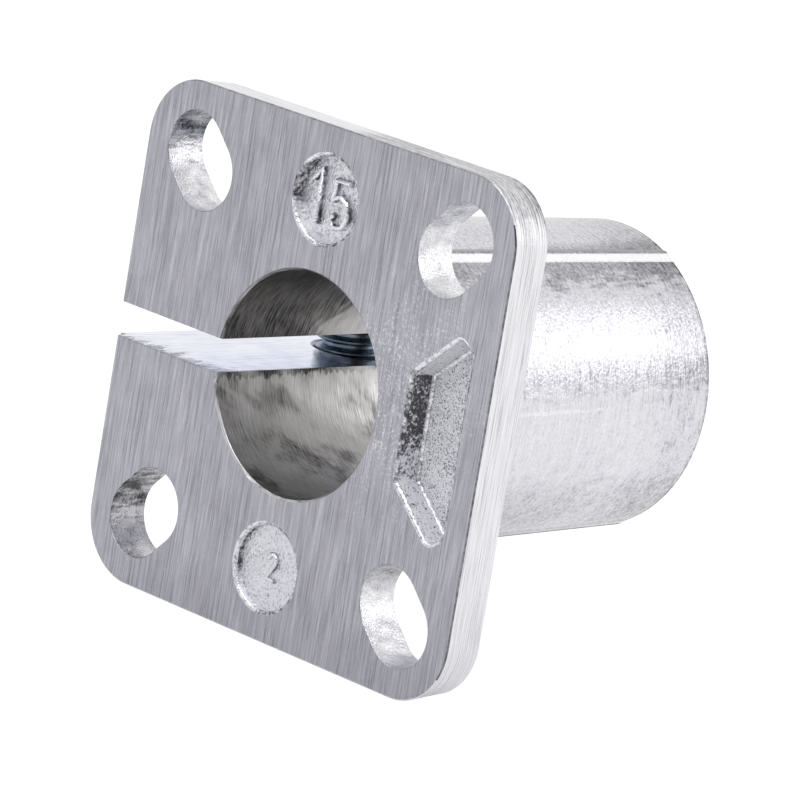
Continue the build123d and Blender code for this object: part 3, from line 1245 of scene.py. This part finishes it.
@dataclass
class ClampScrew:
    """Socket cap screw across the slit, with a real thread, a knurled head and its socket.

    Attributes:
        place: place of its axis along X and Y, and height of the head's underside.
        radius: outer radius of the thread.
        pitch: distance between its turns.
        thread_depth: depth of the thread, as a share of the pitch.
        crest: start and end of the thread's crest, as shares of the pitch.
        root_end: end of the thread's root, as a share of the pitch.
        length: length below the head.
        head_radius: radius over the knurling.
        head_height: height of the head.
        head_round: radius of the head's upper edge.
        knurl: depth of the knurling.
        socket_flats: width of the socket across its flats.
        socket_depth: depth of the socket.
        socket_cone: depth of the drilled cone below the socket.
        tip_chamfer: height of the tapered tip.
        steps: sides of the thread for each turn.
        head_sides: sides of the head.
        finish: finish of the whole screw.
    """

    place: Triple = (-11.6, 16.5, 5.4)
    radius: float = 2.5
    pitch: float = 0.8
    thread_depth: float = 0.6134
    crest: Pair = (0.5625, 0.6875)
    root_end: float = 0.25
    length: float = 12.0
    head_radius: float = 4.25
    head_height: float = 5.0
    head_round: float = 0.35
    knurl: float = 0.16
    socket_flats: float = 4.0
    socket_depth: float = 2.5
    socket_cone: float = 0.9
    tip_chamfer: float = 0.5
    steps: int = 48
    head_sides: int = 96
    finish: SteelFinish = SteelFinish("screw_steel_dull")

    def build(self) -> bpy.types.Object:
        """Makes the screw.

        Returns:
            The new piece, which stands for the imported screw.
        """
        body = bmesh.new()
        for part in (self.thread(), self.head()):
            draft = as_mesh("draft", part)
            body.from_mesh(draft)
            bpy.data.meshes.remove(draft)
        bmesh.ops.recalc_face_normals(body, faces=body.faces)
        placed = Matrix.Translation([part * MM for part in self.place]) @ Matrix.Scale(MM, 4)
        bmesh.ops.transform(body, matrix=placed, verts=body.verts)
        mesh = as_mesh("cap_screw", body)
        for polygon in mesh.polygons:
            polygon.use_smooth = True
        mesh.set_sharp_from_angle(angle=math.radians(28.0))
        mesh.materials.append(self.finish.make())
        piece = add_object("cap_screw", mesh)
        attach(piece, "screw")
        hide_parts("clamp_screw")
        LOG.info("cap_screw: %d faces", len(mesh.polygons))
        return piece

    def thread(self) -> Shell:
        """Models the threaded shank, its head end at z 0 and its tip below.

        Returns:
            The shank, in millimetres.
        """
        shank = bmesh.new()
        root = self.radius - self.thread_depth * self.pitch
        start = -self.length - 1.5 * self.pitch
        turns = int(self.length / self.pitch) + 3
        crest = [(self.radius, part) for part in self.crest]
        corners = [(root, 0.0), (root, self.root_end), *crest]
        outline = [(reach, part + turn) for turn in range(turns) for reach, part in corners]
        outline.append((root, turns))
        line = [shank.verts.new((reach, 0.0, up * self.pitch + start)) for reach, up in outline]
        for lower, upper in zip(line, line[1:]):
            shank.edges.new((lower, upper))
        bmesh.ops.spin(
            shank, geom=shank.verts[:] + shank.edges[:], cent=(0, 0, 0), axis=(0, 0, 1),
            angle=math.tau, dvec=(0.0, 0.0, self.pitch / self.steps), steps=self.steps,
            use_merge=False,
        )
        bmesh.ops.remove_doubles(shank, verts=shank.verts, dist=0.001)
        self.cut(shank, 0.0, clear_outer=True)
        bmesh.ops.contextual_create(shank, geom=self.cut(shank, -self.length, clear_inner=True))
        self.cut(shank, self.tip_chamfer - self.length)
        for vert in shank.verts:
            above_tip = vert.co.z + self.length
            allowed = self.radius - self.tip_chamfer + above_tip
            if above_tip < self.tip_chamfer and math.hypot(vert.co.x, vert.co.y) > allowed:
                self.set_reach(vert, allowed)
        return shank

    @staticmethod
    def cut(shank: Shell, height: float, **cleared: bool) -> Edges:
        """Cuts the shank level.

        Args:
            shank: the shank, changed in place.
            height: height of the cut.
            cleared: which side is taken away, if one is.

        Returns:
            The edges of the cut.
        """
        made = bmesh.ops.bisect_plane(
            shank, geom=shank.verts[:] + shank.edges[:] + shank.faces[:],
            plane_co=(0, 0, height), plane_no=(0, 0, 1), **cleared,
        )
        return [e for e in made["geom_cut"] if isinstance(e, bmesh.types.BMEdge)]

    @staticmethod
    def set_reach(vert: bmesh.types.BMVert, reach: float) -> None:
        """Moves a point to a distance from the axis."""
        share = reach / math.hypot(vert.co.x, vert.co.y)
        vert.co.x *= share
        vert.co.y *= share

    def head(self) -> Shell:
        """Models the knurled head with its socket, its underside at z 0.

        Returns:
            The head, in millimetres.
        """
        head = bmesh.new()
        corner = self.socket_flats / math.sqrt(3.0)
        made = bmesh.ops.create_circle(head, cap_ends=False, segments=6, radius=corner)
        turned = Matrix.Rotation(math.radians(30.0), 3, "Z")
        bmesh.ops.rotate(head, cent=(0, 0, 0), matrix=turned, verts=made["verts"])
        bmesh.ops.subdivide_edges(head, edges=head.edges, cuts=self.head_sides // 6 - 1)
        top, outer = self.head_height, self.head_radius
        floor = top - self.socket_depth
        bmesh.ops.translate(head, vec=(0, 0, floor), verts=head.verts)
        rings = [(top - 0.25, 0.0, 0.0), (top, corner + 0.12, 0.0), (top, outer - 0.45, 0.0)]
        for angle in (30.0, 60.0, 90.0):
            turn = math.radians(angle)
            height = top - self.head_round + self.head_round * math.cos(turn)
            rings.append((height, outer - 0.45 + self.head_round * math.sin(turn), 0.0))
        rings += [(top - 0.6, outer, self.knurl), (0.45, outer, self.knurl)]
        rings += [(0.25, outer - 0.12, 0.0), (0.0, outer - 0.4, 0.0)]
        rings.append((0.0, self.radius - 0.55, 0.0))
        bottom = loop = head.edges[:]
        for ring in rings:
            loop = self.extruded(head, loop, *ring)
        cone = bmesh.ops.extrude_edge_only(head, edges=bottom)
        tip = [v for v in cone["geom"] if isinstance(v, bmesh.types.BMVert)]
        bmesh.ops.pointmerge(head, verts=tip, merge_co=(0, 0, floor - self.socket_cone))
        return head

    def extruded(
        self, head: Shell, loop: Edges, height: float, reach: float, knurl: float
    ) -> Edges:
        """Extrudes a loop of edges and sets the new one's height and radius.

        Args:
            head: the head, changed in place.
            loop: edges of the loop.
            height: height of the new loop.
            reach: radius of the new loop, or 0 to keep its outline.
            knurl: depth of the knurling, cut at every other point.

        Returns:
            The edges of the new loop.
        """
        made = bmesh.ops.extrude_edge_only(head, edges=loop)["geom"]
        verts = [v for v in made if isinstance(v, bmesh.types.BMVert)]
        edges = [e for e in made if isinstance(e, bmesh.types.BMEdge)]
        edges = [e for e in edges if all(v in verts for v in e.verts)]
        verts.sort(key=lambda v: math.atan2(v.co.y, v.co.x))
        for count, vert in enumerate(verts):
            vert.co.z = height
            if reach:
                self.set_reach(vert, reach - knurl * (count % 2))
        return edges


# The studio


@dataclass(frozen=True)
class SoftBox:
    """One rectangular studio lamp.

    Attributes:
        name: name of the lamp.
        place: where it stands, in metres.
        size: its width and height, in metres.
        glow: brightness of its front, where 1 is white.
    """

    name: str
    place: Triple
    size: Pair
    glow: float

    def build(self) -> None:
        """Makes the lamp, aimed at the part."""
        lamp = bpy.data.lights.new(self.name, "AREA")
        lamp.shape = "RECTANGLE"
        lamp.size, lamp.size_y = self.size
        lamp.energy = self.glow * math.pi * self.size[0] * self.size[1]
        holder = add_object(self.name, lamp)
        holder.location = self.place
        holder.rotation_mode = "QUATERNION"
        holder.rotation_quaternion = (-Vector(self.place)).to_track_quat("-Z", "Y")


@dataclass
class Studio:
    """Camera, lamps, floor and surroundings.

    Attributes:
        camera_place: place of the camera, in metres.
        camera_axes: the camera's right, up and backward directions.
        lens: focal length for a sensor 36 mm wide.
        floor_height: height of the floor, just under the flange.
        boxes: the lamps.
    """

    camera_place: Triple = (0.26663, -0.26926, 0.08170)
    camera_axes: tuple[Triple, Triple, Triple] = (
        (0.6893, 0.7061, 0.1622), (-0.2632, 0.0355, 0.9641), (0.6750, -0.7072, 0.2103),
    )
    lens: float = 265.2
    floor_height: float = -0.0175
    boxes: tuple[SoftBox, ...] = (
        SoftBox("overhead", (-0.1, -0.1, 0.6), (0.7, 0.9), 0.95),
        SoftBox("front_top", (0.25, -0.45, 0.55), (0.4, 0.4), 2.6),
        SoftBox("right_back", (0.40, 0.48, 0.27), (0.45, 0.30), 1.2),
    )

    def build(self) -> None:
        """Makes the whole studio."""
        self.add_camera()
        self.add_floor()
        self.add_world()
        for box in self.boxes:
            box.build()
        LOG.info("studio: %d lamps", len(self.boxes))

    def add_camera(self) -> None:
        """Makes the camera at the photograph's angle."""
        camera = bpy.data.cameras.new("camera")
        camera.lens = self.lens
        camera.sensor_width = 36.0
        camera.clip_start = 0.01
        holder = add_object("camera", camera)
        holder.rotation_mode = "QUATERNION"
        holder.rotation_quaternion = Matrix(self.camera_axes).transposed().to_quaternion()
        holder.location = self.camera_place
        bpy.context.scene.camera = holder

    def add_floor(self) -> None:
        """Makes the pale floor, which stays white to the camera and keeps a faint shadow."""
        ground = bmesh.new()
        bmesh.ops.create_grid(ground, x_segments=1, y_segments=1, size=4.0)
        bmesh.ops.translate(ground, vec=(0.0, 0.0, self.floor_height), verts=ground.verts)
        material = bpy.data.materials.new("pale_floor")
        shading = Shading(material)
        matt = shading.node("ShaderNodeBsdfDiffuse", {}, {"Color": (0.8, 0.8, 0.8, 1.0)})
        glow = {"Color": (1.0, 1.0, 1.0, 1.0), "Strength": 0.95}
        white = shading.node("ShaderNodeEmission", {}, glow)
        faint = shading.node("ShaderNodeBsdfDiffuse", {}, {"Color": (0.12, 0.12, 0.12, 1.0)})
        lit = shading.node("ShaderNodeAddShader", {}, {0: white, 1: faint})
        camera = shading.node("ShaderNodeLightPath", {}, {}, "Is Camera Ray")
        mirrored = shading.node("ShaderNodeLightPath", {}, {}, "Is Glossy Ray")
        behind = shading.axes[1].step(-40.0, 60.0)
        inputs = {0: camera.larger(mirrored * behind), 1: matt, 2: lit}
        shading.end("ShaderNodeOutputMaterial", shading.node("ShaderNodeMixShader", {}, inputs))
        mesh = as_mesh("floor", ground)
        mesh.materials.append(material)
        floor = add_object("floor", mesh)

    def add_world(self) -> None:
        """Makes the surroundings: white to the camera, bright behind the part, dark before it."""
        world = bpy.data.worlds.new("light_tent")
        bpy.context.scene.world = world
        shading = Shading(world)
        direction = shading.node("ShaderNodeTexCoord", {}, {}, "Generated")
        x, y, _ = shading.parts(direction)
        room = shading.blend(y.step(-0.3, 0.5), (0.62, 0.62, 0.67), (1.0, 1.0, 1.0))
        before = (x * 0.69 - y * 0.72).step(0.45, 0.95)
        room = shading.blend(before, room, (0.22, 0.22, 0.25))
        seen = shading.node("ShaderNodeLightPath", {}, {}, "Is Camera Ray")
        colour = shading.blend(seen, room, (1.0, 1.0, 1.0))
        sky = shading.node("ShaderNodeBackground", {}, {"Color": colour, "Strength": 1.0})
        shading.end("ShaderNodeOutputWorld", sky)


def main() -> None:
    """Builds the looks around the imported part."""
    logging.basicConfig(level=logging.INFO, format="%(name)s: %(message)s")
    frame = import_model()
    bpy.context.scene.view_settings.view_transform = "Standard"
    Studio().build()
    Casting().build(frame["nodes"]["clamp_body"])
    for number in NUMBERS:
        number.build()
    ClampScrew().build()


if __name__ == "__main__":
    main()
